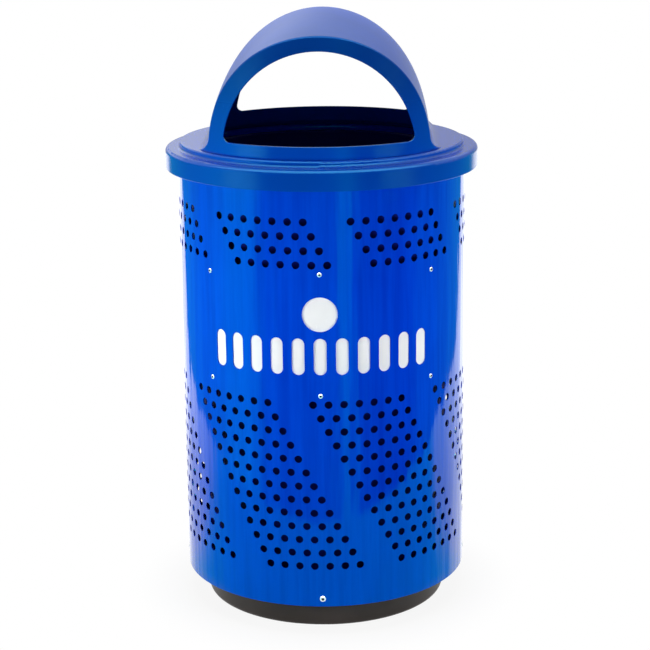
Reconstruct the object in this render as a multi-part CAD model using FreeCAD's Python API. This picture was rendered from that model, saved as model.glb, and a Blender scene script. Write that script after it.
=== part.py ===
import FreeCAD, Part
import math
import os
from FreeCAD import Vector

# Outdoor recycling bin: a perforated steel drum on a black pan, with a lift-out liner and a loose bonnet lid.
# Millimetres and degrees. The origin is the middle of the floor under the bin, +Z is up, -Y is the front.

# Shell: one perforated sheet rolled into a drum
SHELL_DIAMETER = 609.6
SHELL_HEIGHT = 914.4
SHEET = 1.9
SEAM_GAP = 0.6

# Perforation: slanted panels of round holes, each row half a pitch to the right of the row above
HOLE_DIAMETER = 15.9
HOLE_PITCH = 31.75
ROW_SPACING = 29.2
HOLES_PER_ROW = 7
PANEL_PITCHES = 9
UPPER_ROWS = 4
UPPER_MARGIN = 96.3
LOWER_MARGIN = 89.5
UPPER_START = 2.0
LOWER_START = -0.5
SEAM_BLANK = 64.0

# Plain zone between the two bands of holes, with a stencil of plain slots and one disc
SIGN_ZONE = 290.0
SLOT_WIDTH = 26.0
SLOT_HEIGHT = 77.0
SLOT_PITCH = 45.0
SLOT_COUNT = 11
DISC_DIAMETER = 72.0
STENCIL_OFFSET = 44.0

# White sheet behind the stencil
PANEL_SHEET = 1.2
PANEL_SIDE_MARGIN = 32.0
PANEL_HOLE_GAP = 2.0
PANEL_CORNER = 8.0
PANEL_RIVET_EDGE = 9.0
PANEL_RIVET_SIDE = 15.0
PANEL_CORNER_DROP = 13.0

# Strap inside the shell's seam
STRAP_WIDTH = 40.0
STRAP_SHEET = 1.9
STRAP_END_GAP = 30.0
STRAP_RIVET_EDGE = 9.0
STRAP_RIVET_SPACING = 110.0

# Blind rivets: the smaller size holds sheet to sheet, the larger one holds the pan
RIVET_SHANK = 4.8
RIVET_HEAD = 9.5
RIVET_RISE = 1.7
BASE_RIVET_SHANK = 6.4
BASE_RIVET_HEAD = 12.7
BASE_RIVET_RISE = 2.2
BASE_RIVET_COUNT = 4
BASE_RIVET_HEIGHT = 17.0
MANDREL_SHARE = 0.58
BULB_SHARE = 1.5

# Black pan that the bin stands on
BASE_DIAMETER = 520.7
BASE_HEIGHT = 63.5
PAN_SHEET = 2.0
PAN_FLANGE_RISE = 3.0
PAN_LIP = 32.0
PAN_BEND = 9.0
ANCHOR_HOLE = 14.0
ANCHOR_CIRCLE = 300.0
ANCHOR_COUNT = 4
DRAIN_HOLE = 9.0
DRAIN_CIRCLE = 440.0
DRAIN_COUNT = 4

# Round bar hoop outside the shell's top edge
HOOP_BAR = 15.9
HOOP_BELOW_TOP = 1.0

# Liner: a tapered plastic can with a rolled rim, two hand slots and a raised middle in its floor
LINER_WALL = 3.5
LINER_RIM_PLAY = 7.0
LINER_FOOT_PLAY = 8.0
LINER_RIM_WIDTH = 11.0
LINER_RIM_DROP = 16.0
LINER_BELOW_TOP = 4.0
LINER_FOOT_BEND = 18.0
LINER_FOOT_RING = 55.0
LINER_PUSH_UP = 22.0
LINER_FLOOR_BEND = 11.0
LINER_RING_BEND = 5.5
HAND_SLOT_LENGTH = 110.0
HAND_SLOT_HEIGHT = 34.0
HAND_SLOT_DROP = 62.0

# Lid: skirt, ledge and step are turned forms, and the bonnet is an arch that runs from front to back
LID_DIAMETER = 660.4
LID_WALL = 4.8
SKIRT_HEIGHT = 42.5
SKIRT_CORNER = 8.0
STEP_DIAMETER = 600.0
STEP_HEIGHT = 12.5
STEP_CORNER = 4.0
STEP_COVE = 5.0
BONNET_FACE_DIAMETER = 574.0
BONNET_WIDTH = 456.0
BONNET_RISE = 267.5
BONNET_NARROWING = 5.2
BONNET_FALL = 24.0
FLARE_HEIGHT = 27.0
FLARE_SINK = 0.6
BONNET_EDGE = 4.0
OPENING_WIDTH = 389.0
OPENING_RISE = 213.4
SILL_HEIGHT = 26.0
SILL_CORNER = 12.0
TRIM_ROUND = 1.2

# Clearances
SHEET_FIT = 0.2
SHANK_FIT = 0.1
SEAT_FIT = 0.3

# Lengths closer than this count as equal, and edges are picked by their place with this margin
SAME_LENGTH = 0.01
PICK_MARGIN = 0.2

# Places that follow from the sizes above
shell_radius = SHELL_DIAMETER / 2
shell_inner = shell_radius - SHEET
shell_top = BASE_HEIGHT + SHELL_HEIGHT
base_radius = BASE_DIAMETER / 2
pitch_angle = math.degrees(HOLE_PITCH / shell_radius)
pitches_round = math.pi * SHELL_DIAMETER / HOLE_PITCH
upper_top_row = shell_top - UPPER_MARGIN
upper_last_row = upper_top_row - (UPPER_ROWS - 1) * ROW_SPACING
lower_last_row = BASE_HEIGHT + LOWER_MARGIN
lower_rows = int((upper_last_row - SIGN_ZONE - lower_last_row) / ROW_SPACING) + 1
lower_top_row = lower_last_row + (lower_rows - 1) * ROW_SPACING
sign_middle = (lower_top_row + upper_last_row) / 2
slot_row_height = sign_middle - STENCIL_OFFSET
disc_height = sign_middle + STENCIL_OFFSET
panel_half_arc = (SLOT_COUNT - 1) / 2 * SLOT_PITCH + SLOT_WIDTH / 2 + PANEL_SIDE_MARGIN
panel_half_height = (upper_last_row - lower_top_row - HOLE_DIAMETER) / 2 - PANEL_HOLE_GAP
panel_outer = shell_inner - SHEET_FIT
strap_outer = shell_inner - SHEET_FIT
pan_lip_outer = shell_inner - SHEET_FIT
pan_flange_top = BASE_HEIGHT + PAN_FLANGE_RISE + PAN_SHEET
pan_lip_top = pan_flange_top + PAN_LIP
hoop_radius = shell_radius + SHEET_FIT + HOOP_BAR / 2
hoop_height = shell_top - HOOP_BELOW_TOP
hoop_top = hoop_height + HOOP_BAR / 2
ledge_top = hoop_top + SEAT_FIT + LID_WALL
skirt_bottom = ledge_top - SKIRT_HEIGHT
plateau = ledge_top + STEP_HEIGHT
flare_top = plateau + FLARE_HEIGHT
bonnet_root = skirt_bottom + LID_WALL


def around(shape, angle):
    """A copy of a shape made at the front, turned about the bin's axis to the right by an angle."""
    placed = shape.copy()
    placed.rotate(Vector(0, 0, 0), Vector(0, 0, 1), angle)
    return placed


def arc_angle(length):
    """The angle that a length along the shell's outside takes up."""
    return math.degrees(length / shell_radius)


def tube(outer, inner, bottom, top):
    """A straight round wall."""
    wall = Part.makeCylinder(outer, top - bottom, Vector(0, 0, bottom))
    return wall.cut(Part.makeCylinder(inner, top - bottom, Vector(0, 0, bottom)))


def radial_hole(diameter, height, angle, reach):
    """A round cutter through the wall at an angle and a height, which starts at the radius called reach."""
    direction = Vector(math.sin(math.radians(angle)), -math.cos(math.radians(angle)), 0)
    start = direction * reach + Vector(0, 0, height)
    return Part.makeCylinder(diameter / 2, shell_radius * 2 - reach, start, direction)


def radial_slot(width, height, middle, angle, reach):
    """A cutter with round ends, width along the wall by height, through the wall at an angle."""
    round_end = min(width, height) / 2
    half_width = width / 2 - round_end
    half_height = height / 2 - round_end
    ends = []
    for side in (1, -1):
        place = Vector(side * half_width, -reach, middle + side * half_height)
        ends.append(Part.makeCylinder(round_end, shell_radius * 2 - reach, place, Vector(0, -1, 0)))
    wide = 2 * half_width if half_width > 0 else width
    tall = 2 * half_height if half_height > 0 else height
    bar_corner = Vector(-wide / 2, -shell_radius * 2, middle - tall / 2)
    bar = Part.makeBox(wide, shell_radius * 2 - reach, tall, bar_corner)
    return around(bar.fuse(ends).removeSplitter(), angle)


def turned(points):
    """A solid turned about the bin's axis from a closed outline of (radius, height, corner radius) points."""
    return Part.Face(rounded_outline(points)).revolve(Vector(0, 0, 0), Vector(0, 0, 1), 360)


def rounded_outline(points):
    """A closed wire in the XZ plane. A corner with a radius gets an arc that touches both of its sides."""
    corners = [Vector(radius, 0, height) for radius, height, bend in points]
    edges = []
    starts = []
    ends = []
    for index, corner in enumerate(corners):
        bend = points[index][2]
        back = (corners[index - 1] - corner).normalize()
        ahead = (corners[(index + 1) % len(corners)] - corner).normalize()
        half = back.getAngle(ahead) / 2
        starts.append(corner + back * (bend / math.tan(half)))
        ends.append(corner + ahead * (bend / math.tan(half)))
        if bend > 0:
            middle = corner + (back + ahead).normalize() * (bend / math.sin(half) - bend)
            edges.append(Part.Arc(starts[-1], middle, ends[-1]).toShape())
    for index, end in enumerate(ends):
        following = starts[(index + 1) % len(starts)]
        if end.distanceToPoint(following) > SAME_LENGTH:
            edges.append(Part.LineSegment(end, following).toShape())
    return Part.Wire(Part.__sortEdges__(edges))


def panel_count(rows):
    """How many slanted panels of holes fit round the shell and still leave the seam's plain strip."""
    span = HOLES_PER_ROW - 1 + (rows - 1) / 2
    return int((pitches_round - span - SEAM_BLANK / HOLE_PITCH) / PANEL_PITCHES) + 1


def band_holes(start, top_row, rows):
    """Cutters for one band of slanted panels of holes. start is in pitches to the right of the front."""
    panels = panel_count(rows)
    first = -(panels // 2)
    cutters = []
    for panel in range(first, first + panels):
        for row in range(rows):
            for hole in range(HOLES_PER_ROW):
                place = start + PANEL_PITCHES * panel + hole + row / 2
                height = top_row - row * ROW_SPACING
                cutters.append(radial_hole(HOLE_DIAMETER, height, place * pitch_angle, shell_inner / 2))
    return cutters


def seam_angle():
    """The middle of the plain strip between the last panel of the lower band and the first one."""
    panels = panel_count(lower_rows)
    first = LOWER_START - PANEL_PITCHES * (panels // 2)
    last = first + PANEL_PITCHES * (panels - 1) + HOLES_PER_ROW - 1 + (lower_rows - 1) / 2
    return (last + first + pitches_round) / 2 * pitch_angle


def sign_rivet_places():
    """Angle and height of the rivets that hold the white sheet: two at the middle and two at each side."""
    side_angle = arc_angle(panel_half_arc - PANEL_RIVET_SIDE)
    places = []
    for up in (1, -1):
        edge = panel_half_height - PANEL_RIVET_EDGE
        places.append((0, sign_middle + up * edge))
        for side in (1, -1):
            places.append((side * side_angle, sign_middle + up * (edge - PANEL_CORNER_DROP)))
    return places


def strap_ends():
    """Bottom and top of the seam strap, clear of the pan's lip and of the liner's rim."""
    return pan_lip_top + STRAP_END_GAP, shell_top - LINER_BELOW_TOP - LINER_RIM_DROP - STRAP_END_GAP


def seam_rivet_places():
    """Angle and height of the seam's rivets, in one column on each side of the seam."""
    bottom, top = strap_ends()
    spaces = max(1, int((top - bottom - 2 * STRAP_RIVET_EDGE) / STRAP_RIVET_SPACING))
    step = (top - bottom - 2 * STRAP_RIVET_EDGE) / spaces
    places = []
    for side in (1, -1):
        angle = seam_angle() + side * arc_angle(STRAP_WIDTH / 2 - STRAP_RIVET_EDGE)
        for index in range(spaces + 1):
            places.append((angle, bottom + STRAP_RIVET_EDGE + index * step))
    return places


def base_rivet_places():
    """Angle and height of the rivets that hold the pan, evenly round from the front."""
    height = BASE_HEIGHT + BASE_RIVET_HEIGHT
    return [(index * 360 / BASE_RIVET_COUNT, height) for index in range(BASE_RIVET_COUNT)]


def shank_holes(places, shank):
    """Cutters for rivet holes through the shell and what lies against its inside."""
    return [radial_hole(shank + 2 * SHANK_FIT, height, angle, shell_inner / 2) for angle, height in places]


def make_shell():
    """The drum: a rolled sheet with its seam gap, perforation, stencil and rivet holes."""
    sheet = tube(shell_radius, shell_inner, BASE_HEIGHT, shell_top)
    cutters = band_holes(UPPER_START, upper_top_row, UPPER_ROWS)
    cutters += band_holes(LOWER_START, lower_top_row, lower_rows)
    for slot in range(SLOT_COUNT):
        angle = arc_angle((slot - (SLOT_COUNT - 1) / 2) * SLOT_PITCH)
        cutters.append(radial_slot(SLOT_WIDTH, SLOT_HEIGHT, slot_row_height, angle, shell_inner / 2))
    cutters.append(radial_hole(DISC_DIAMETER, disc_height, 0, shell_inner / 2))
    cutters += shank_holes(sign_rivet_places() + seam_rivet_places(), RIVET_SHANK)
    cutters += shank_holes(base_rivet_places(), BASE_RIVET_SHANK)
    gap_corner = Vector(-SEAM_GAP / 2, -shell_radius * 2, BASE_HEIGHT)
    gap = Part.makeBox(SEAM_GAP, shell_radius * 2 - shell_inner / 2, SHELL_HEIGHT, gap_corner)
    cutters.append(around(gap, seam_angle()))
    return sheet.cut(cutters)


def curved_sheet(outer, thickness, half_arc, middle, half_height, corner):
    """A sheet bent to the shell's inside, centred at the front, with rounded corners."""
    sheet = tube(outer, outer - thickness, middle - half_height, middle + half_height)
    half_angle = arc_angle(half_arc)
    bottom = Vector(0, 0, middle - half_height)
    wedge = Part.makeCylinder(outer * 2, half_height * 2, bottom, Vector(0, 0, 1), half_angle * 2)
    sheet = sheet.common(around(wedge, -90 - half_angle))
    corners = [edge for edge in sheet.Edges if abs(edge.Length - thickness) < SAME_LENGTH]
    return sheet.makeFillet(corner, corners)


def make_sign_panel():
    """The white sheet behind the stencil."""
    sheet = curved_sheet(
        panel_outer, PANEL_SHEET, panel_half_arc, sign_middle, panel_half_height, PANEL_CORNER
    )
    return sheet.cut(shank_holes(sign_rivet_places(), RIVET_SHANK))


def make_seam_strip():
    """The strap inside the seam."""
    bottom, top = strap_ends()
    strap = curved_sheet(
        strap_outer, STRAP_SHEET, STRAP_WIDTH / 2, (bottom + top) / 2, (top - bottom) / 2, PANEL_CORNER
    )
    return around(strap, seam_angle()).cut(shank_holes(seam_rivet_places(), RIVET_SHANK))


def rivet(shank, head, rise, grip):
    """A set blind rivet at the front: a domed head with the mandrel's hole, a shank and an upset bulb."""
    dome_radius = (head ** 2 / 4 + rise ** 2) / (2 * rise)
    outside = shell_radius + SHEET_FIT
    bulb = shank * BULB_SHARE
    inside = shell_radius - grip - SHANK_FIT
    mandrel = shank * MANDREL_SHARE
    centre = Vector(0, -(outside + rise - dome_radius), 0)
    ball = Part.makeSphere(dome_radius, centre)
    cap = Part.makeCylinder(head / 2, rise, Vector(0, -outside, 0), Vector(0, -1, 0))
    body = ball.common(cap)
    stem = Part.makeCylinder(shank / 2, outside - inside, Vector(0, -inside, 0), Vector(0, -1, 0))
    upset = Part.makeCone(bulb / 2, shank / 2, shank, Vector(0, -inside, 0), Vector(0, 1, 0))
    hole = Part.makeCylinder(mandrel / 2, rise + SHEET, Vector(0, -outside - rise, 0), Vector(0, 1, 0))
    return body.fuse([stem, upset]).cut(hole).removeSplitter()


def rivet_group(single, places):
    """The same rivet at each place, as separate solids in one group."""
    group = []
    for angle, height in places:
        set_rivet = around(single, angle)
        set_rivet.translate(Vector(0, 0, height))
        group.append(set_rivet)
    return Part.makeCompound(group)


def make_base_pan():
    """The pan: a flat floor, a wall, a flange that reaches the shell and a lip riveted inside it."""
    wall_top = pan_flange_top - PAN_SHEET
    inner_bend = PAN_BEND - PAN_SHEET
    outline = [
        (0, 0, 0),
        (base_radius, 0, PAN_BEND),
        (base_radius, wall_top, inner_bend),
        (pan_lip_outer, wall_top, inner_bend),
        (pan_lip_outer, pan_lip_top, 0),
        (pan_lip_outer - PAN_SHEET, pan_lip_top, 0),
        (pan_lip_outer - PAN_SHEET, pan_flange_top, inner_bend - PAN_SHEET),
        (base_radius - PAN_SHEET, pan_flange_top, PAN_BEND),
        (base_radius - PAN_SHEET, PAN_SHEET, inner_bend),
        (0, PAN_SHEET, 0),
    ]
    pan = turned(outline)
    cutters = shank_holes(base_rivet_places(), BASE_RIVET_SHANK)
    for count, circle, hole, turn in (
        (ANCHOR_COUNT, ANCHOR_CIRCLE, ANCHOR_HOLE, 180 / ANCHOR_COUNT),
        (DRAIN_COUNT, DRAIN_CIRCLE, DRAIN_HOLE, 0),
    ):
        for index in range(count):
            upright = Part.makeCylinder(hole / 2, PAN_SHEET * 3, Vector(0, -circle / 2, -PAN_SHEET))
            cutters.append(around(upright, index * 360 / count + turn))
    return pan.cut(cutters)


def make_hoop():
    """The round bar hoop outside the shell's top edge."""
    return Part.makeTorus(hoop_radius, HOOP_BAR / 2, Vector(0, 0, hoop_height))


def make_liner():
    """The lift-out can."""
    floor = PAN_SHEET
    top = shell_top - LINER_BELOW_TOP
    rim = shell_inner - LINER_RIM_PLAY
    neck = rim - LINER_RIM_WIDTH
    foot = base_radius - PAN_SHEET - LINER_FOOT_PLAY
    ring = foot - LINER_FOOT_RING
    raised = floor + LINER_PUSH_UP
    outline = [
        (0, raised, 0),
        (ring - LINER_PUSH_UP, raised, LINER_FLOOR_BEND),
        (ring, floor, LINER_RING_BEND),
        (foot, floor, LINER_FOOT_BEND),
        (neck, top - LINER_WALL, 0),
        (rim - LINER_WALL, top - LINER_WALL, 0),
        (rim - LINER_WALL, top - LINER_RIM_DROP, 0),
        (rim, top - LINER_RIM_DROP, 0),
        (rim, top, LINER_WALL),
        (neck - LINER_WALL, top, LINER_WALL),
        (foot - LINER_WALL, floor + LINER_WALL, LINER_FOOT_BEND - LINER_WALL),
        (ring, floor + LINER_WALL, LINER_RING_BEND),
        (ring - LINER_PUSH_UP, raised + LINER_WALL, LINER_FLOOR_BEND),
        (0, raised + LINER_WALL, 0),
    ]
    can = turned(outline)
    slots = []
    for angle in (90, -90):
        slots.append(radial_slot(HAND_SLOT_LENGTH, HAND_SLOT_HEIGHT, top - HAND_SLOT_DROP, angle, foot / 2))
    return can.cut(slots)


def lid_base(inset):
    """The turned part of the lid as a full solid, with its outside moved in by an inset."""
    skirt = LID_DIAMETER / 2 - inset
    step = STEP_DIAMETER / 2 - inset
    bottom = skirt_bottom - inset
    outline = [
        (0, bottom, 0),
        (skirt, bottom, 0),
        (skirt, ledge_top - inset, max(SKIRT_CORNER - inset, 0)),
        (step, ledge_top - inset, STEP_COVE + inset),
        (step, plateau - inset, max(STEP_CORNER - inset, 0)),
        (0, plateau - inset, 0),
    ]
    return turned(outline)


def upright_ellipse(half, rise, place):
    """An ellipse across the lid at a place along Y, centred at the height of the plateau."""
    side = Vector(half, place, plateau)
    top = Vector(0, place, plateau + rise)
    long_end = top if rise > half else side
    short_end = side if rise > half else top
    return Part.Ellipse(long_end, short_end, Vector(0, place, plateau))


def foot_points(half, rise, place, low, side):
    """Three points of a flared foot: it leaves the ellipse along its tangent and ends level at a low height."""
    out = half * math.sqrt(1 - (FLARE_HEIGHT / rise) ** 2)
    normal = Vector(out / half ** 2, 0, FLARE_HEIGHT / rise ** 2).normalize()
    radius = (flare_top - low) / (1 - normal.z)
    centre = Vector(out + radius * normal.x, 0, low + radius)
    halfway = centre - (normal + Vector(0, 0, 1)).normalize() * radius
    points = [Vector(out, 0, flare_top), halfway, Vector(centre.x, 0, low)]
    return [Vector(side * point.x, place, point.z) for point in points]


def arch_section(place, inset):
    """The bonnet's outline across the lid at a place along Y: flared feet and an ellipse over them."""
    share = (2 * place / BONNET_FACE_DIAMETER) ** 2
    half = BONNET_WIDTH / 2 - BONNET_NARROWING * share - inset
    rise = BONNET_RISE - BONNET_FALL * share - inset
    low = plateau - FLARE_SINK - inset
    left, right = [foot_points(half, rise, place, low, side) for side in (-1, 1)]
    ellipse = upright_ellipse(half, rise, place)
    first = ellipse.parameter(right[0])
    last = ellipse.parameter(left[0])
    crown = Part.ArcOfEllipse(ellipse, first, last)
    if crown.value((crown.FirstParameter + crown.LastParameter) / 2).z < flare_top:
        crown = Part.ArcOfEllipse(ellipse, last, first)
    corners = [
        right[2],
        Vector(right[2].x, place, bonnet_root),
        Vector(left[2].x, place, bonnet_root),
        left[2],
    ]
    edges = [Part.LineSegment(near, far).toShape() for near, far in zip(corners, corners[1:])]
    edges += [Part.Arc(*left).toShape(), crown.toShape(), Part.Arc(*right).toShape()]
    return Part.Wire(Part.__sortEdges__(edges))


def bonnet(inset):
    """The bonnet as a full solid: a loft from front to back, cut by its round front and back faces."""
    reach = BONNET_FACE_DIAMETER / 2 + FLARE_HEIGHT
    barrel = Part.makeLoft([arch_section(place, inset) for place in (-reach, 0, reach)], True, False)
    return barrel.common(Part.makeCylinder(BONNET_FACE_DIAMETER / 2 - inset, plateau + BONNET_RISE))


def edges_on_face(shape, inset, low, high):
    """The edges of a shape that lie on the bonnet's round faces between two heights."""
    radius = BONNET_FACE_DIAMETER / 2 - inset
    chosen = []
    for edge in shape.Edges:
        first, last = edge.ParameterRange
        points = [edge.valueAt(first + (last - first) * share / 4) for share in range(5)]
        on_radius = all(abs(math.hypot(point.x, point.y) - radius) < SAME_LENGTH for point in points)
        if on_radius and edge.BoundBox.ZMin > low and edge.BoundBox.ZMax < high:
            chosen.append(edge)
    return chosen


def low_edges(shape, height):
    """The edges of a shape that lie at a height or below it."""
    return [edge for edge in shape.Edges if edge.BoundBox.ZMax < height + PICK_MARGIN]


def make_opening():
    """The cutter for the D-shaped openings: an elliptic bar above the sill, with rounded lower corners."""
    reach = BONNET_FACE_DIAMETER
    sill = plateau + SILL_HEIGHT
    ellipse = upright_ellipse(OPENING_WIDTH / 2, OPENING_RISE, -reach)
    bar = Part.Face(Part.Wire(ellipse.toShape())).extrude(Vector(0, 2 * reach, 0))
    bar = bar.common(Part.makeBox(2 * reach, 2 * reach, 2 * reach, Vector(-reach, -reach, sill)))
    along = [edge for edge in low_edges(bar, sill) if edge.BoundBox.YLength > reach]
    return bar.makeFillet(SILL_CORNER, along)


def make_lid():
    """The lid: a turned base and a bonnet, hollow with one wall, and an opening at the front and the back."""
    crown = plateau + BONNET_RISE
    hood = bonnet(0)
    hood = hood.makeFillet(BONNET_EDGE, edges_on_face(hood, 0, ledge_top, crown))
    lid = lid_base(0).fuse(hood)
    lid = lid.cut(lid_base(LID_WALL).fuse(bonnet(LID_WALL)))
    lid = lid.cut(make_opening())
    low = plateau + SILL_HEIGHT - PICK_MARGIN
    high = plateau + OPENING_RISE + PICK_MARGIN
    rims = []
    for inset in (0, LID_WALL):
        rims += edges_on_face(lid, inset, low, high)
    lid = lid.makeFillet(TRIM_ROUND, rims)
    return lid.makeFillet(TRIM_ROUND, low_edges(lid, skirt_bottom))


def write(name, shape):
    """One file for each piece of the bin."""
    os.makedirs("parts", exist_ok=True)
    if shape.ShapeType == "Compound" and len(shape.Solids) == 1:
        shape = shape.Solids[0]
    print(name, shape.ShapeType, len(shape.Solids), shape.isValid(), round(shape.Volume), shape.BoundBox)
    shape.exportStep("parts/" + name + ".step")


sheet_rivet = rivet(RIVET_SHANK, RIVET_HEAD, RIVET_RISE, SHEET + SHEET_FIT + PANEL_SHEET)
strap_rivet = rivet(RIVET_SHANK, RIVET_HEAD, RIVET_RISE, SHEET + SHEET_FIT + STRAP_SHEET)
pan_rivet = rivet(BASE_RIVET_SHANK, BASE_RIVET_HEAD, BASE_RIVET_RISE, SHEET + SHEET_FIT + PAN_SHEET)
write("base_pan", make_base_pan())
write("top_hoop", make_hoop())
write("sign_panel", make_sign_panel())
write("sign_rivets", rivet_group(sheet_rivet, sign_rivet_places()))
write("seam_strip", make_seam_strip())
write("seam_rivets", rivet_group(strap_rivet, seam_rivet_places()))
write("base_rivets", rivet_group(pan_rivet, base_rivet_places()))
write("liner", make_liner())
write("bonnet_lid", make_lid())
write("perforated_shell", make_shell())
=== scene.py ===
# %% [markdown]
# # Outdoor recycling bin
#
# A blue steel drum with slanted panels of round holes stands on a black pan. A loose plastic lid
# with a bonnet lies on top, and a dark liner stands inside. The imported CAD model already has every
# solid at its real size, so this script loads it as a fixed frame and adds what CAD leaves out:
# finishes, the small weld beads and rivet pins, a studio floor, lamps and the camera.

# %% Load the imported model
import math

import bmesh
import bpy
import numpy as np
from mathutils import Matrix, Vector


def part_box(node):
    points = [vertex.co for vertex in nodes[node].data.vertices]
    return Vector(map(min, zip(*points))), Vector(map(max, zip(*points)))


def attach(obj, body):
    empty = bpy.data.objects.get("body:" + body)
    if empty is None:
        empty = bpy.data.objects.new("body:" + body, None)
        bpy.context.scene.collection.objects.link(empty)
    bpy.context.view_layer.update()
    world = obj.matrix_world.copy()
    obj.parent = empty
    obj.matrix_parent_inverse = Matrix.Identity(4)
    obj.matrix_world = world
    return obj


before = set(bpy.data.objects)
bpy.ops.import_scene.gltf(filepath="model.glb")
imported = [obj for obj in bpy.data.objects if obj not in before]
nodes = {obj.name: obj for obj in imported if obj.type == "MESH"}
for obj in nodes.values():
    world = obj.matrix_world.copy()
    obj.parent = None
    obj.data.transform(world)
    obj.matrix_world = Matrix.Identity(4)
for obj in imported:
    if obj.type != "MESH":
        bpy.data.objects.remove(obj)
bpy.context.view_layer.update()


def rounded(values, digits=4):
    """Plain numbers with few digits, for printing."""
    return [round(value, digits) for value in values]


print("CAD nodes:", ", ".join(sorted(nodes)))


# %% [markdown]
# ## Measures that the other steps share
#
# The new pieces sit on CAD nodes. Their places could be typed in again, but here they come from the
# boxes of the nodes, so that a changed drum carries its beads and pins along. The drum's box gives
# its radius, and the hoop's box gives the round bar that the lid rests on.

# %% Measures from the CAD boxes
_, shell_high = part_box("perforated_shell")
hoop_low, hoop_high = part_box("top_hoop")
shell_radius = shell_high.x
bar_radius = (hoop_high.z - hoop_low.z) / 2
hoop_radius = hoop_high.x - bar_radius
hoop_height = (hoop_high.z + hoop_low.z) / 2
print("radius of drum and hoop, height of hoop:", rounded((shell_radius, hoop_radius, hoop_height)))


# %% [markdown]
# ## Helpers for surfaces
#
# A new piece could be swept or spun with Blender's modelling tools. Here it is a grid of points
# that numpy works out as whole arrays, because a formula is short and says exactly what the surface
# is. One helper lists the quads of such a grid, one repeats them for equal grids, and one makes the
# object and closes it where points meet.

# %% Mesh helpers
merge_distance = 1e-6


def grid_faces(rows, columns, wrap):
    """Quads between neighbouring rows and columns of a grid. With wrap, the last column joins the first."""
    across = columns if wrap else columns - 1
    row, column = np.meshgrid(np.arange(rows - 1), np.arange(across), indexing="ij")
    following = (column + 1) % columns
    corners = [row * columns + column, row * columns + following]
    corners += [(row + 1) * columns + following, (row + 1) * columns + column]
    return np.stack(corners, -1).reshape(-1, 4)


def repeated(faces, copies, points):
    """The quads of several grids of equal size, whose points follow each other in one list."""
    return (faces[None] + points * np.arange(copies)[:, None, None]).reshape(-1, 4)


def mesh_piece(name, points, faces, closed=True):
    """An object at the origin with these points and faces. On a closed piece, points that meet become one."""
    mesh = bpy.data.meshes.new(name)
    mesh.from_pydata(points.tolist(), [], faces.tolist())
    if closed:
        work = bmesh.new()
        work.from_mesh(mesh)
        bmesh.ops.remove_doubles(work, verts=work.verts, dist=merge_distance)
        bmesh.ops.recalc_face_normals(work, faces=work.faces)
        work.to_mesh(mesh)
        work.free()
    mesh.polygons.foreach_set("use_smooth", np.full(len(mesh.polygons), True))
    mesh.update()
    piece = bpy.data.objects.new(name, mesh)
    bpy.context.scene.collection.objects.link(piece)
    return piece


quads = [len(grid_faces(3, 4, wrap)) for wrap in (False, True)]
print("a grid of 3 by 4 points has", quads[0], "quads, or", quads[1], "where it goes round")


# %% [markdown]
# ## Helpers for node trees
#
# A finish is a tree of shader nodes. It could be drawn in Blender's node editor, but a script can
# be read from top to bottom and run again. Every node takes a few lines there, so these helpers add
# a node, set its plain inputs and join the kinds that come up again and again. Each finish below is
# then as short as a recipe.

# %% Nodes and their inputs
def add(tree, kind, **settings):
    """A new node of a kind, with its plain settings made in one call."""
    node = tree.nodes.new(kind)
    for key, value in settings.items():
        setattr(node, key, value)
    return node


def put(node, **values):
    """Sets unlinked inputs of a node by name. A space in a socket's name is written as an underscore."""
    for key, value in values.items():
        node.inputs[key.replace("_", " ")].default_value = value
    return node


def feed(tree, socket, value):
    """Links an input to another node's output, or sets it to a number."""
    if isinstance(value, float):
        socket.default_value = value
    else:
        tree.links.new(value, socket)


def calculate(tree, operation, first, second):
    """One step of arithmetic on two values. Each is a socket or a number."""
    node = add(tree, "ShaderNodeMath", operation=operation)
    feed(tree, node.inputs[0], first)
    feed(tree, node.inputs[1], second)
    return node.outputs["Value"]


print("helpers that set up nodes:", ", ".join(helper.__name__ for helper in (add, put, feed, calculate)))


# %% [markdown]
# Most of a finish is made of a few kinds of node: noise that gives a pattern, a range that turns it
# into a mask, mixes that choose by the mask, and bumps that tilt the surface by it. They could be
# added and joined anew every time. One call for each keeps the finishes short and their numbers in
# sight.

# %% Patterns, masks and bumps
def noise(tree, where, scale, detail=3.0, roughness=0.5):
    """A noise texture read at a vector socket. Scale is in bumps per metre."""
    node = add(tree, "ShaderNodeTexNoise")
    put(node, Scale=scale, Detail=detail, Roughness=roughness)
    tree.links.new(where, node.inputs["Vector"])
    return node.outputs["Fac"]


def stretched(tree, where, scale):
    """A vector socket scaled along each axis. A scale below one draws a pattern out along that axis."""
    node = put(add(tree, "ShaderNodeMapping"), Scale=scale)
    tree.links.new(where, node.inputs["Vector"])
    return node.outputs["Vector"]


def remap(tree, value, low, high, to_low=0.0, to_high=1.0):
    """Takes a value from one range to another along an S curve, and stops at the ends."""
    node = add(tree, "ShaderNodeMapRange", interpolation_type="SMOOTHSTEP")
    put(node, From_Min=low, From_Max=high, To_Min=to_low, To_Max=to_high)
    tree.links.new(value, node.inputs["Value"])
    return node.outputs["Result"]


def blend(tree, mask, first, second):
    """A colour between two fixed colours, by a mask."""
    node = add(tree, "ShaderNodeMix", data_type="RGBA")
    node.inputs["A"].default_value = (*first, 1.0)
    node.inputs["B"].default_value = (*second, 1.0)
    tree.links.new(mask, node.inputs["Factor"])
    colours = [socket for socket in node.outputs if socket.type == "RGBA"]
    return colours[0]


def mix_values(tree, mask, first, second):
    """A value between two others by a mask. Each is a socket or a number."""
    node = add(tree, "ShaderNodeMix", data_type="FLOAT")
    for name, value in (("Factor", mask), ("A", first), ("B", second)):
        feed(tree, node.inputs[name], value)
    return node.outputs["Result"]


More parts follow.
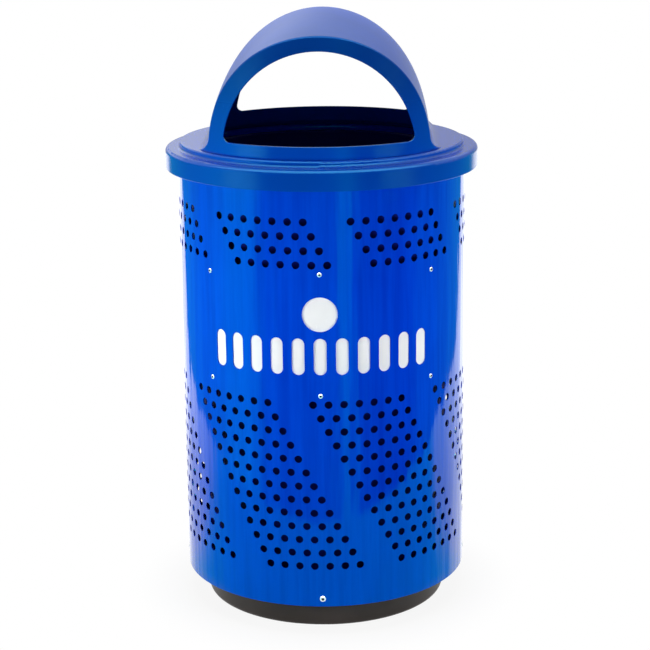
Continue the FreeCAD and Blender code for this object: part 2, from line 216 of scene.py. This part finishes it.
def bump(tree, height, distance, strength, below=None):
    """A bump of a depth in metres, on top of another normal if there is one."""
    node = add(tree, "ShaderNodeBump")
    put(node, Distance=distance, Strength=strength)
    tree.links.new(height, node.inputs["Height"])
    if below is not None:
        tree.links.new(below, node.inputs["Normal"])
    return node.outputs["Normal"]


pattern_helpers = (noise, stretched, remap, blend, mix_values, bump)
print("helpers for patterns:", ", ".join(helper.__name__ for helper in pattern_helpers))


# %% [markdown]
# ## Effects that several finishes share
#
# An effect that several finishes use is a node group: a small tree with named inputs and outputs,
# built once and placed in each material with values of its own. Its nodes could be copied into
# every material, but then a change would have to be made in each of them.

# %% Empty group
def new_group(name, values, results):
    """A node group with a Vector and some values as inputs. Returns it with its input and output node."""
    group = bpy.data.node_groups.new(name, "ShaderNodeTree")
    group.interface.new_socket("Vector", in_out="INPUT", socket_type="NodeSocketVector")
    for side, sockets in (("INPUT", values), ("OUTPUT", results)):
        for socket in sockets:
            group.interface.new_socket(socket, in_out=side, socket_type="NodeSocketFloat")
    return group, add(group, "NodeGroupInput"), add(group, "NodeGroupOutput")


print("a node group is made by", new_group.__name__)


# %% [markdown]
# ### Grain, tone and rubs
#
# Powder coat, moulded plastic and paint all have three things: a fine grain, a slow change of tone
# over a hand's width, and faint rubbed marks that change only the gloss. They could be painted as
# pictures, but noise that is read in space needs no picture and no unwrapping. One group holds all
# three and takes the sizes of grain and tone as inputs.

# %% Group: grain and tone
rub_stretch = (90.0, 90.0, 14.0)
rub_peaks = (0.6, 0.78)


def make_grain_group():
    """Grain is fine noise. Tone is slow noise. Rubs are the peaks of noise that is drawn out upright."""
    sizes = ("Grains per metre", "Tones per metre")
    group, start, end = new_group("grain_and_tone", sizes, ("Grain", "Tone", "Rubs"))
    grain = put(add(group, "ShaderNodeTexNoise"), Detail=2.0, Roughness=0.55)
    tone = put(add(group, "ShaderNodeTexNoise"), Detail=3.0, Roughness=0.5)
    for texture, size, result in zip((grain, tone), sizes, ("Grain", "Tone")):
        group.links.new(start.outputs["Vector"], texture.inputs["Vector"])
        group.links.new(start.outputs[size], texture.inputs["Scale"])
        group.links.new(texture.outputs["Fac"], end.inputs[result])
    drawn = stretched(group, start.outputs["Vector"], rub_stretch)
    rubs = remap(group, noise(group, drawn, 1.0, 4.0, 0.6), *rub_peaks)
    group.links.new(rubs, end.inputs["Rubs"])
    return group


grain_group = make_grain_group()
print("group", grain_group.name, "has", len(grain_group.nodes), "nodes")


# %% [markdown]
# ### Rolled sheet
#
# Rolled sheet is never a true cylinder: it keeps slight upright flats, and a gloss coat shows them
# as soft streaks in its reflections. They could be modelled as facets, but they are so shallow that
# only the gloss shows them. Noise that is drawn out along the drum's height gives them without a
# seam, because it is read in space and not along an angle. A finer noise of the same kind paints
# such upright streaking into the coat's colour as well: painted reflection.

# %% Group: rolled sheet
flats_per_metre = 18.0
flats_stretch = (1.0, 1.0, 0.07)
# Upright noise for painted reflection streaking in the coat's colour.
painted_streaks_per_metre = 55.0
painted_streaks_stretch = (1.0, 1.0, 0.05)
peel_per_metre = 260.0


def make_sheet_group():
    """Flats is noise that is narrow across and long upright, for the bump. The streak output is a finer noise
    of that kind, painted reflection for the colour. Peel is the coat's orange peel.
    """
    group, start, end = new_group("rolled_sheet", (), ("Flats", "Streaks", "Peel"))
    place = start.outputs["Vector"]
    flats = noise(group, stretched(group, place, flats_stretch), flats_per_metre)
    painted_streaks = noise(group, stretched(group, place, painted_streaks_stretch), painted_streaks_per_metre, roughness=0.6)
    peel = noise(group, place, peel_per_metre, 1.0, 0.4)
    for result, value in (("Flats", flats), ("Streaks", painted_streaks), ("Peel", peel)):
        group.links.new(value, end.inputs[result])
    return group


sheet_group = make_sheet_group()
print("group", sheet_group.name, "has", len(sheet_group.nodes), "nodes")


# %% [markdown]
# ## Finishes
#
# Every finish starts the same way: a Principled shader, the object's own coordinates and the shared
# grain group. The coordinates are in metres and stay with the piece, so the grain keeps its size
# and its place in every pose. The plain finishes go no further than two colours by tone, a gloss
# that varies a little and a bump from the grain, so one function makes them all. What is the same
# all over a surface is set on the shader itself.

# %% Start of a finish
noise_range = (0.3, 0.7)


def start_finish(name, grains, tones):
    """A material with a Principled shader. Returns it with its tree, shader, coordinates and grain group."""
    material = bpy.data.materials.new(name)
    material.use_nodes = True
    tree = material.node_tree
    place = add(tree, "ShaderNodeTexCoord").outputs["Object"]
    grain = add(tree, "ShaderNodeGroup", node_tree=grain_group)
    put(grain, Grains_per_metre=grains, Tones_per_metre=tones)
    tree.links.new(place, grain.inputs["Vector"])
    return material, tree, tree.nodes["Principled BSDF"], place, grain


def grained_finish(name, grains, tones, colours, gloss, depth, strength, gloss_by="Rubs", **constants):
    """Two colours by tone, a roughness between two ends by rubs or by grain, and a bump by grain."""
    material, tree, shader, _, grain = start_finish(name, grains, tones)
    tone = remap(tree, grain.outputs["Tone"], *noise_range)
    span = (0.0, 1.0) if gloss_by == "Rubs" else noise_range
    tree.links.new(blend(tree, tone, *colours), shader.inputs["Base Color"])
    tree.links.new(remap(tree, grain.outputs[gloss_by], *span, *gloss), shader.inputs["Roughness"])
    tree.links.new(bump(tree, grain.outputs["Grain"], depth, strength), shader.inputs["Normal"])
    put(shader, **constants)
    return material


def dress(material, *names):
    """Puts a material on CAD nodes."""
    for name in names:
        nodes[name].data.materials.clear()
        nodes[name].data.materials.append(material)
    print(material.name, "dresses", ", ".join(names))


print("every finish starts from", grain_group.name)


# %% [markdown]
# ### Gloss blue powder coat
#
# The drum is bright royal blue and glossy. Its reflections stay blue where one looks straight at
# it, and turn pale towards the sides, where any coat mirrors more. A clear layer over a paint could
# give that too, but one tinted gloss is simpler: the tint is a blue-green that holds head-on, and
# the shader whitens it at the edges by itself. Its blue also turns lighter and darker in soft
# upright bands, mostly by the sheet's streaking: painted reflection in the colour.

# %% Powder coat
coat_blues = ((0.0, 0.026, 0.55), (0.0, 0.047, 0.68))
coat_gloss = (0.07, 0.13)
coat_tone = (0.35, 0.65)
# Share of painted reflection streaking in the blue; the rest is the coat's own tone.
coat_painted_streak_share = 0.7
flat_bump = {"distance": 0.006, "strength": 0.6}
peel_bump = {"distance": 0.0001, "strength": 0.35}


def make_powder_blue():
    """Two blues by tone and by upright streaking that is painted reflection, a low roughness with faint rubs,
    a normal from flats and peel.
    """
    material, tree, shader, place, grain = start_finish("powder_coat_blue", grains=900.0, tones=5.0)
    sheet = add(tree, "ShaderNodeGroup", node_tree=sheet_group)
    tree.links.new(place, sheet.inputs["Vector"])
    tone = remap(tree, grain.outputs["Tone"], *coat_tone)
    painted_streaks = remap(tree, sheet.outputs["Streaks"], *noise_range)
    shade = mix_values(tree, coat_painted_streak_share, tone, painted_streaks)
    tree.links.new(blend(tree, shade, *coat_blues), shader.inputs["Base Color"])
    tree.links.new(remap(tree, grain.outputs["Rubs"], 0.0, 1.0, *coat_gloss), shader.inputs["Roughness"])
    flats = bump(tree, sheet.outputs["Flats"], **flat_bump)
    surface = bump(tree, sheet.outputs["Peel"], **peel_bump, below=flats)
    tree.links.new(surface, shader.inputs["Normal"])
    put(shader, IOR=1.5, Specular_Tint=(0.02, 1.0, 1.0, 1.0))
    return material


powder_blue = make_powder_blue()
dress(powder_blue, "perforated_shell", "seam_strip", "top_hoop")


# %% [markdown]
# ### Satin lid plastic
#
# The lid is moulded plastic in a deeper blue. Its ledge is pale where it mirrors the bright room at
# a low angle, and light lines run along the ledge's rounded edges. Towards the bonnet's crown the
# gloss grows duller, as plastic does where rain and sun reach it most, and the blue is painted
# darker there as painted shade. Two materials would need a border between them, so one mask by
# height leads a single finish from the glossy ledge to the dull crown with its painted shade.

# %% Lid plastic
lid_blues = ((0.0, 0.03, 0.245), (0.0, 0.046, 0.41))
lid_fresh_gloss = (0.19, 0.25)
lid_dulled_gloss = (0.36, 0.4)
# The height mask darkens the blue towards the crown as painted shade, and dulls the gloss there.
lid_painted_shade_and_dulling_heights = (1.0, 1.22)
lid_painted_shade_share = 0.75
lid_bump = {"distance": 0.00012, "strength": 0.25}


def make_lid_plastic():
    """Two blues by tone and by height, the darker towards the crown as painted shade, a satin roughness that
    rubs and height vary, and a fine grain bump.
    """
    material, tree, shader, place, grain = start_finish("lid_plastic_blue", grains=650.0, tones=7.0)
    parts = add(tree, "ShaderNodeSeparateXYZ")
    tree.links.new(place, parts.inputs["Vector"])
    painted_shade_and_dulling = remap(tree, parts.outputs["Z"], *lid_painted_shade_and_dulling_heights)
    tone = remap(tree, grain.outputs["Tone"], *noise_range)
    # Painted shade: three quarters of the blue's mix follows height, darker towards the crown.
    shade = mix_values(tree, lid_painted_shade_share, tone, remap(tree, painted_shade_and_dulling, 0.0, 1.0, 1.0, 0.0))
    tree.links.new(blend(tree, shade, *lid_blues), shader.inputs["Base Color"])
    fresh = remap(tree, grain.outputs["Rubs"], 0.0, 1.0, *lid_fresh_gloss)
    dulled = remap(tree, grain.outputs["Rubs"], 0.0, 1.0, *lid_dulled_gloss)
    tree.links.new(mix_values(tree, painted_shade_and_dulling, fresh, dulled), shader.inputs["Roughness"])
    tree.links.new(bump(tree, grain.outputs["Grain"], **lid_bump), shader.inputs["Normal"])
    put(shader, IOR=1.42, Specular_Tint=(0.15, 1.0, 1.0, 1.0))
    return material


lid_plastic = make_lid_plastic()
dress(lid_plastic, "bonnet_lid")


# %% [markdown]
# ### White paint
#
# The sheet behind the stencil is steel with a half-gloss white paint. Pure white would look like a
# hole in the picture, so two near whites drift into each other by tone, and a slight peel breaks
# the gloss.

# %% White paint
sign_white = grained_finish(
    "sign_paint_white",
    grains=300.0,
    tones=9.0,
    colours=((0.88, 0.9, 0.91), (0.94, 0.95, 0.95)),
    gloss=(0.25, 0.4),
    depth=0.0001,
    strength=0.25,
)
dress(sign_white, "sign_panel")


# %% [markdown]
# ### Rivet aluminium
#
# The rivet heads are bright aluminium with the fine marks of their making. A full metal mirrors the
# blue drum and the dim walls and turns dark at this size, so the shader is only half metallic, and
# the grain varies its gloss.

# %% Rivet aluminium
rivet_metal = grained_finish(
    "rivet_aluminium",
    grains=2500.0,
    tones=120.0,
    colours=((0.86, 0.87, 0.88), (0.95, 0.95, 0.96)),
    gloss=(0.28, 0.42),
    gloss_by="Grain",
    depth=0.00005,
    strength=0.3,
    Metallic=0.5,
)
dress(rivet_metal, "sign_rivets", "seam_rivets", "base_rivets")


# %% [markdown]
# ### Pan coat
#
# The pan has a black coat with a pebbled texture, as steel that stands on the ground often has. Its
# black is a warm dark grey, which still shows the form of the rim, and a deeper grain than that of
# the other finishes gives the pebbles.

# %% Pan coat
pan_black = grained_finish(
    "pan_coat_black",
    grains=420.0,
    tones=8.0,
    colours=((0.04, 0.034, 0.03), (0.055, 0.046, 0.042)),
    gloss=(0.45, 0.6),
    depth=0.0002,
    strength=0.35,
    IOR=1.25,
)
dress(pan_black, "base_pan")


# %% [markdown]
# ### Liner plastic
#
# The liner is a dark rigid plastic can. Upright draw marks are left on it where it slid out of its
# mould. They could be modelled as grooves, but they are finer than a hair, so noise that is drawn
# out upright gives both their bump and their gloss. The colour is a very dark navy, which keeps the
# holes from turning plain black.

# %% Liner plastic
liner_navies = ((0.002, 0.005, 0.11), (0.003, 0.007, 0.15))
liner_gloss = (0.4, 0.52)
marks_per_metre = 240.0
marks_stretch = (1.0, 1.0, 0.02)
marks_bump = {"distance": 0.0003, "strength": 0.3}
liner_bump = {"distance": 0.0001, "strength": 0.3}


def make_liner_black():
    """Very dark navy by tone, satin by the draw marks, with a bump from the draw marks and a fine grain."""
    material, tree, shader, place, grain = start_finish("liner_plastic_black", grains=700.0, tones=6.0)
    marks = noise(tree, stretched(tree, place, marks_stretch), marks_per_metre, 2.0)
    tone = remap(tree, grain.outputs["Tone"], *noise_range)
    tree.links.new(blend(tree, tone, *liner_navies), shader.inputs["Base Color"])
    tree.links.new(remap(tree, marks, *noise_range, *liner_gloss), shader.inputs["Roughness"])
    upright = bump(tree, marks, **marks_bump)
    surface = bump(tree, grain.outputs["Grain"], **liner_bump, below=upright)
    tree.links.new(surface, shader.inputs["Normal"])
    put(shader, IOR=1.2)
    return material


liner_black = make_liner_black()
dress(liner_black, "liner")


# %% [markdown]
# ## Weld beads under the hoop
#
# On the real drum the hoop is held by short welds in the groove under it, where the bar meets the
# sheet. A bead could be a bevelled curve, but a round profile carried along an arc of the drum lets
# its radius change on the way. The radius ripples, as each pulse of the torch leaves a scale, and
# shrinks to nothing at both ends, which closes the surface.

# %% Weld beads
bead_radius = 0.0026
bead_length = 0.045
bead_count = 12
bead_seat = 0.8 * bead_radius
ripple_height = 0.1
ripple_rate = 44.0


def weld_beads(stations=46, sides=10):
    """Points and quads of all beads. Along s from -1 to 1, a bead's radius is the square root of one less
    the fourth power of s, times a ripple in s. Its middle is as far from the sheet as from the bar."""
    middle_radius = shell_radius + bead_seat
    drop = math.sqrt((bar_radius + bead_seat) ** 2 - (hoop_radius - middle_radius) ** 2)
    s = np.linspace(-1.0, 1.0, stations)
    dome = np.clip(1 - s ** 4, 0, 1) ** 0.5
    thick = bead_radius * dome * (1 + ripple_height * np.sin(s * ripple_rate))
    around = np.linspace(0, 2 * np.pi, sides, endpoint=False)
    radius = middle_radius + thick[:, None] * np.cos(around)
    height = hoop_height - drop + thick[:, None] * np.sin(around)
    centres = (np.arange(bead_count) + 0.5) * 2 * np.pi / bead_count
    angle = centres[:, None, None] + (s * bead_length / 2 / shell_radius)[None, :, None]
    x = radius * np.sin(angle)
    y = -radius * np.cos(angle)
    points = np.stack(np.broadcast_arrays(x, y, height[None]), -1).reshape(-1, 3)
    return points, repeated(grid_faces(stations, sides, True), bead_count, stations * sides)


hoop_welds = mesh_piece("hoop_welds", *weld_beads())
hoop_welds.data.materials.append(powder_blue)
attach(hoop_welds, "bin")
print("hoop_welds:", bead_count, "beads,", len(hoop_welds.data.polygons), "faces")


# %% [markdown]
# ## Places of the rivets
#
# A CAD node holds many equal rivets in one mesh. Their places could be copied from the CAD source,
# but the mesh already has them: points that are about a head's width or less apart on the drum's
# surface belong to one rivet. So whatever sits on a rivet follows it when the CAD model changes.

# %% Places of the rivets
small_head = 0.0095
pan_head = 0.0127
reach_per_head = 1.15


def rivet_places(name, head):
    """Angle, height and outermost radius of each rivet, which is all points in reach of a first one."""
    mesh = nodes[name].data
    points = np.empty(len(mesh.vertices) * 3)
    mesh.vertices.foreach_get("co", points)
    x, y, z = points.reshape(-1, 3).T
    angle, radius = np.arctan2(x, -y), np.hypot(x, y)
    left = np.ones(len(x), bool)
    places = []
    while left.any():
        first = left.argmax()
        turned = (angle - angle[first] + np.pi) % (2 * np.pi) - np.pi
        near = left & (np.hypot(turned * shell_radius, z - z[first]) < head * reach_per_head)
        turn, height = ((values[near].min() + values[near].max()) / 2 for values in (turned, z))
        places.append([angle[first] + turn, height, radius[near].max()])
        left &= ~near
    return np.array(places)


small_rivets = np.concatenate([rivet_places(name, small_head) for name in ("sign_rivets", "seam_rivets")])
pan_rivets = rivet_places("base_rivets", pan_head)
print("rivets found:", len(small_rivets), "small and", len(pan_rivets), "on the pan")


# %% [markdown]
# ## Pin stumps
#
# A blind rivet is set by pulling a steel pin, which breaks off and leaves its stump in the middle
# of the head. The CAD heads have the hole for it. The stump could be a plain cylinder, but a turned
# profile also lays a thin dark film on the dome round the hole: painted shade, which stands for the
# shadow in the recess round the stump and is what one sees of it from a few metres away. The
# stump's near-black is its steel darkened by painted shade as well.

# %% Pin stumps
small_hole = 0.00139
pan_hole = 0.00185
# The dark film of painted shade round each hole: its reach per hole, then its lift and thickness below.
painted_shade_ring_per_hole = 1.7
shoulder_per_hole = 0.7
wall_per_hole = 0.97
stump_top = 0.0003
stump_shoulder = 0.00036
stump_edge = 0.0005
painted_shade_ring_film = 0.00004
painted_shade_ring_thickness = 0.0004
stump_back = 0.0012


def pin_stumps(places, hole, head, sides=14):
    """A profile turned about each rivet's axis: a sunk stump, the hole's wall, a thin dark film of painted
    shade on the dome and a flat back. The dome falls with the square of the distance from its axis, and the
    film with it."""
    shoulder, wall, painted_shade_ring = (hole * share for share in (shoulder_per_hole, wall_per_hole, painted_shade_ring_per_hole))
    rise = places[0, 2] - shell_radius
    fall = rise * (painted_shade_ring ** 2 - hole ** 2) / (head / 2) ** 2
    out = np.array([0.0, shoulder, wall, wall, painted_shade_ring, painted_shade_ring, 0.0])
    stump = [stump_top, stump_shoulder, stump_edge]
    deep = np.array(stump + [-painted_shade_ring_film, fall - painted_shade_ring_film, fall + painted_shade_ring_thickness, stump_back])
    turn = np.linspace(0, 2 * np.pi, sides, endpoint=False)
    angle, height, front = (column[:, None, None] for column in places.T)
    across = out[:, None] * np.cos(turn)
    radius = front - deep[:, None]
    x = radius * np.sin(angle) + across * np.cos(angle)
    y = across * np.sin(angle) - radius * np.cos(angle)
    z = height + out[:, None] * np.sin(turn)
    points = np.stack(np.broadcast_arrays(x, y, z), -1).reshape(-1, 3)
    return points, repeated(grid_faces(len(out), sides, True), len(places), len(out) * sides)


# Near-black: the pin's own dark steel, deepened into painted shade of the recess round it.
pin_steel_and_painted_shade = grained_finish(
    "pin_steel_and_painted_shade",
    grains=4000.0,
    tones=300.0,
    colours=((0.004, 0.004, 0.006), (0.012, 0.012, 0.016)),
    gloss=(0.5, 0.7),
    gloss_by="Grain",
    depth=0.0001,
    strength=0.5,
    IOR=1.2,
)
pin_rows = [
    ("small_pins", small_rivets, small_hole, small_head),
    ("pan_pins", pan_rivets, pan_hole, pan_head),
]
for name, places, hole, head in pin_rows:
    pins = mesh_piece(name, *pin_stumps(places, hole, head))
    pins.data.materials.append(pin_steel_and_painted_shade)
    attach(pins, "bin")
    print(name, len(places), "stumps,", len(pins.data.polygons), "faces")


# %% [markdown]
# ## Studio floor
#
# The bin stands on a pale sheet of limited size, as in a small studio. A plane without end would be
# simpler, but the gloss drum mirrors the edge of the sheet, as the curved border low on its front
# and as the pale stripes along its sides. So the sheet has a round front edge, straight sides a
# little to the right of the bin, and a back that widens.

# %% Floor sheet
floor_front = -0.97
floor_middle = 0.8
floor_back = 6.0
floor_half = 1.6
floor_aside = 0.1
flare_start = 1.3
flare_per_metre = 0.48


def floor_sheet(rows=60, columns=9):
    """A flat sheet. Its half width follows an ellipse in front, then stays, then grows in a line with y.
    Its middle moves aside from the front edge to the middle row."""
    rounded_end = floor_middle - (floor_middle - floor_front) * np.cos(np.linspace(0, np.pi / 2, rows // 2))
    straight_end = np.linspace(floor_middle, floor_back, rows // 2)[1:]
    y = np.concatenate([rounded_end, straight_end])
    ahead = np.clip((floor_middle - y) / (floor_middle - floor_front), 0, 1)
    half = floor_half * np.sqrt(1 - ahead ** 2) + flare_per_metre * np.clip(y - flare_start, 0, None)
    x = floor_aside * (1 - ahead[:, None]) + half[:, None] * np.linspace(-1, 1, columns)
    points = np.stack(np.broadcast_arrays(x, y[:, None], 0.0), -1)
    return points.reshape(-1, 3), grid_faces(len(y), columns, False)


floor = mesh_piece("studio_floor", *floor_sheet(), closed=False)
print("floor sheet from y", floor_front, "to", floor_back, "with", len(floor.data.polygons), "faces")


# %% [markdown]
# To the camera the sheet is white, with a soft shadow near the bin. That white could come from
# strong lamps, but they would bleach the bin, so the sheet glows for camera and mirror rays only
# and stays a plain matte grey for the lamps. Mirror rays see the part in front of the bin in a cool
# tint, which keeps the drum's reflections as clean a blue as in the real coat.

# %% Floor finish
floor_greys = ((0.78, 0.78, 0.78), (0.83, 0.83, 0.83))
floor_tones_per_metre = 3.0
pure_white = (1.0, 1.0, 1.0)
floor_cool = (0.04, 0.9, 1.0)
shadow_ring = (0.27, 0.45)
shadow_white = (0.9, 1.0)
glow_ring = (0.8, 2.2)
glow_levels = (1.3, 1.9)
cool_ring = (0.34, 0.46)
cool_border = (-0.14, 0.15)


def make_floor():
    """A matte grey mixed with a glow for camera and mirror rays, whose share is 0.9 near the bin and 1
    further out. Its level is 1 to the camera, and to mirror rays it grows with the distance."""
    material = bpy.data.materials.new("floor_sheet")
    material.use_nodes = True
    tree = material.node_tree
    tree.nodes.clear()
    rays = add(tree, "ShaderNodeLightPath")
    place = add(tree, "ShaderNodeTexCoord").outputs["Object"]
    parts = add(tree, "ShaderNodeSeparateXYZ")
    tree.links.new(place, parts.inputs["Vector"])
    length = add(tree, "ShaderNodeVectorMath", operation="LENGTH")
    tree.links.new(place, length.inputs[0])
    far = length.outputs["Value"]
    matte = add(tree, "ShaderNodeBsdfDiffuse")
    tone = remap(tree, noise(tree, place, floor_tones_per_metre), *noise_range)
    tree.links.new(blend(tree, tone, *floor_greys), matte.inputs["Color"])
    front = remap(tree, parts.outputs["Y"], *cool_border, 1.0, 0.0)
    tinted = mix_values(tree, remap(tree, far, *cool_ring), 0.0, front)
    cool = mix_values(tree, rays.outputs["Is Glossy Ray"], 0.0, tinted)
    lit = remap(tree, far, *glow_ring, *glow_levels)
    glow = add(tree, "ShaderNodeEmission")
    tree.links.new(blend(tree, cool, pure_white, floor_cool), glow.inputs["Color"])
    tree.links.new(mix_values(tree, rays.outputs["Is Camera Ray"], lit, 1.0), glow.inputs["Strength"])
    seen = calculate(tree, "MAXIMUM", rays.outputs["Is Camera Ray"], rays.outputs["Is Glossy Ray"])
    share = calculate(tree, "MULTIPLY", seen, remap(tree, far, *shadow_ring, *shadow_white))
    both = add(tree, "ShaderNodeMixShader")
    tree.links.new(share, both.inputs["Fac"])
    tree.links.new(matte.outputs["BSDF"], both.inputs[1])
    tree.links.new(glow.outputs["Emission"], both.inputs[2])
    out = add(tree, "ShaderNodeOutputMaterial")
    tree.links.new(both.outputs["Shader"], out.inputs["Surface"])
    return material


floor.data.materials.append(make_floor())
print("floor finish", floor.data.materials[0].name)


# %% [markdown]
# ## Studio room
#
# The gloss coat mirrors the room as soft upright bands. The room could be built from panels, but
# then it would also stand in the camera's way in other views. So the world holds it, as a short
# list of wall angles and levels that only mirror rays see. A colour ramp eases from one wall to the
# next.

# %% Walls of the room
room_walls = [
    (-150, 0.62), (-115, 0.75), (-68, 2.0), (-36, 0.5), (6, 0.5),
    (19, 1.6), (32, 0.25), (70, 0.15), (90, 0.5), (150, 0.65),
]
brightest_wall = max(level for degrees, level in room_walls)


def wall_light(tree, x, y):
    """The walls' level by the angle of a ray to the right of the front, eased between the list's stops.
    Both ends of the ramp take the first stop's level, so that the walls meet behind the bin."""
    front = calculate(tree, "MULTIPLY", y, -1.0)
    angle = calculate(tree, "ARCTAN2", x, front)
    turn = put(add(tree, "ShaderNodeMapRange"), From_Min=-math.pi, From_Max=math.pi)
    tree.links.new(angle, turn.inputs["Value"])
    ramp = add(tree, "ShaderNodeValToRGB")
    ramp.color_ramp.interpolation = "EASE"
    for degrees, level in room_walls:
        stop = ramp.color_ramp.elements.new(0.5 + degrees / 360)
        stop.color = (level / brightest_wall,) * 3 + (1.0,)
    for end in (0, -1):
        ramp.color_ramp.elements[end].color = ramp.color_ramp.elements[1].color
    tree.links.new(turn.outputs["Result"], ramp.inputs["Fac"])
    return calculate(tree, "MULTIPLY", ramp.outputs["Color"], brightest_wall)


print(len(room_walls), "walls, the brightest at level", brightest_wall)


# %% [markdown]
# Above the walls, mirror rays see a backdrop behind the bin, brighter at the left, and a bright
# ceiling in front, which draws the light lines along the lid's edges. The walls have a cool tint as
# the floor has, except far back. The camera sees plain white all round, and matte surfaces get a
# dim even light from everywhere. A picture of a real studio could stand in for all this, but a few
# named levels are easier to follow and to change.

# %% World
room_cool = (0.05, 0.88, 1.0)
matte_level = 0.2
backdrop_foot = 0.5
backdrop_left_right = (1.7, 0.6)
backdrop_top = 1.4
front_wall_ceiling = (0.7, 8.0)
left_to_right = (-0.22, 0.08)
front_to_back = (-0.3, 0.35)
above_walls = (-0.02, 0.2)
above_foot = (0.04, 0.2)
near_top = (0.28, 0.45)
near_ceiling = (0.3, 0.55)
far_back = (0.84, 0.95)


def make_world():
    """A level by the kind of ray and its direction: X is to the right, Y to the back and Z upwards."""
    world = bpy.data.worlds.new("studio_room")
    bpy.context.scene.world = world
    world.use_nodes = True
    tree = world.node_tree
    tree.nodes.clear()
    rays = add(tree, "ShaderNodeLightPath")
    parts = add(tree, "ShaderNodeSeparateXYZ")
    tree.links.new(add(tree, "ShaderNodeTexCoord").outputs["Generated"], parts.inputs["Vector"])
    x, y, z = (parts.outputs[axis] for axis in "XYZ")
    side = remap(tree, x, *left_to_right, *backdrop_left_right)
    low = mix_values(tree, remap(tree, z, *above_foot), backdrop_foot, side)
    backdrop = mix_values(tree, remap(tree, z, *near_top), low, backdrop_top)
    ahead = remap(tree, z, *near_ceiling, *front_wall_ceiling)
    above = mix_values(tree, remap(tree, y, *front_to_back), ahead, backdrop)
    below = remap(tree, z, *above_walls, 1.0, 0.0)
    mirror = mix_values(tree, below, above, wall_light(tree, x, y))
    painted = mix_values(tree, below, 0.0, remap(tree, y, *far_back, 1.0, 0.0))
    cool = mix_values(tree, rays.outputs["Is Glossy Ray"], 0.0, painted)
    matte_or_mirror = mix_values(tree, rays.outputs["Is Glossy Ray"], matte_level, mirror)
    seen = calculate(tree, "MAXIMUM", rays.outputs["Is Camera Ray"], rays.outputs["Is Transmission Ray"])
    room = add(tree, "ShaderNodeBackground")
    tree.links.new(blend(tree, cool, pure_white, room_cool), room.inputs["Color"])
    tree.links.new(mix_values(tree, seen, matte_or_mirror, 1.0), room.inputs["Strength"])
    out = add(tree, "ShaderNodeOutputWorld")
    tree.links.new(room.outputs["Background"], out.inputs["Surface"])
    return world


print("world", make_world().name, "has", len(bpy.context.scene.world.node_tree.nodes), "nodes")


# %% [markdown]
# ## Lamps
#
# Four soft lamps do the lighting: one on each side of the front, a little stronger at the left, one
# overhead for the lid's top, and one behind. The two in front have a narrow beam a little above half
# the bin's height, so the drum's middle is the brightest part. Lamps could also show in the gloss,
# but here they light matte surfaces only, because the mirror rays already see the room.

# %% Lamps
lamp_rows = [
    # name, degrees right of the front, degrees up, distance, size, watts, beam, height of the target
    ("lamp_left", -56, 0, 2.2, (1.0, 0.4), 4.8, 60, 0.72),
    ("lamp_right", 56, 0, 2.2, (1.0, 0.4), 3.6, 60, 0.72),
    ("lamp_above", -8, 82, 2.4, (1.4, 0.7), 42.0, 180, 1.0),
    ("lamp_behind", 180, 5, 2.6, (1.6, 1.2), 26.0, 180, 0.6),
]


def soft_lamp(name, turn, rise, distance, size, power, beam, height):
    """A rectangular lamp that shines at a point on the bin's axis and that mirror rays don't see."""
    data = bpy.data.lights.new(name, "AREA")
    data.shape = "RECTANGLE"
    data.size, data.size_y = size
    data.energy = power
    data.spread = math.radians(beam)
    a, e = math.radians(turn), math.radians(rise)
    away = Vector((math.sin(a) * math.cos(e), -math.cos(a) * math.cos(e), math.sin(e)))
    lamp = bpy.data.objects.new(name, data)
    lamp.location = Vector((0.0, 0.0, height)) + away * distance
    lamp.rotation_euler = away.to_track_quat("Z", "Y").to_euler()
    lamp.visible_glossy = False
    bpy.context.scene.collection.objects.link(lamp)
    return lamp


lamps = [soft_lamp(*row) for row in lamp_rows]
print("lamps:", ", ".join(lamp.name for lamp in lamps))


# %% [markdown]
# ## Camera
#
# The camera stands almost in front, a little to the right, and looks down at about fifteen degrees.
# It could be aimed by eye, but its place, its lens and its slight roll come from a fit of the
# drum's hole pattern to the picture, with no lens shift.

# %% Camera
camera_place = (0.09125, -3.92802, 1.63089)
camera_yaw = -1.2791
camera_pitch = -14.8217
camera_roll = -0.6028
camera_lens = 103.492
camera_sensor = 36.0


def place_camera(location, yaw, pitch, roll, lens):
    """A camera that looks along +Y, turned by yaw to the right and pitch upwards, then rolled."""
    y, p, r = (math.radians(angle) for angle in (yaw, pitch, roll))
    ahead = Vector((math.sin(y) * math.cos(p), math.cos(y) * math.cos(p), math.sin(p)))
    right = Vector((math.cos(y), -math.sin(y), 0.0))
    up = right.cross(ahead)
    turned_right = right * math.cos(r) + up * math.sin(r)
    turned_up = up * math.cos(r) - right * math.sin(r)
    data = bpy.data.cameras.new("photo_camera")
    data.lens = lens
    data.sensor_width = camera_sensor
    camera = bpy.data.objects.new("photo_camera", data)
    turn = Matrix((turned_right, turned_up, -ahead)).transposed()
    camera.matrix_world = Matrix.Translation(location) @ turn.to_4x4()
    bpy.context.scene.collection.objects.link(camera)
    bpy.context.scene.camera = camera
    return camera


camera = place_camera(camera_place, camera_yaw, camera_pitch, camera_roll, camera_lens)
bpy.context.scene.view_settings.view_transform = "Standard"
print("camera at", rounded(camera.location, 3), "lens", camera.data.lens)


# %% Finish
bpy.context.view_layer.update()
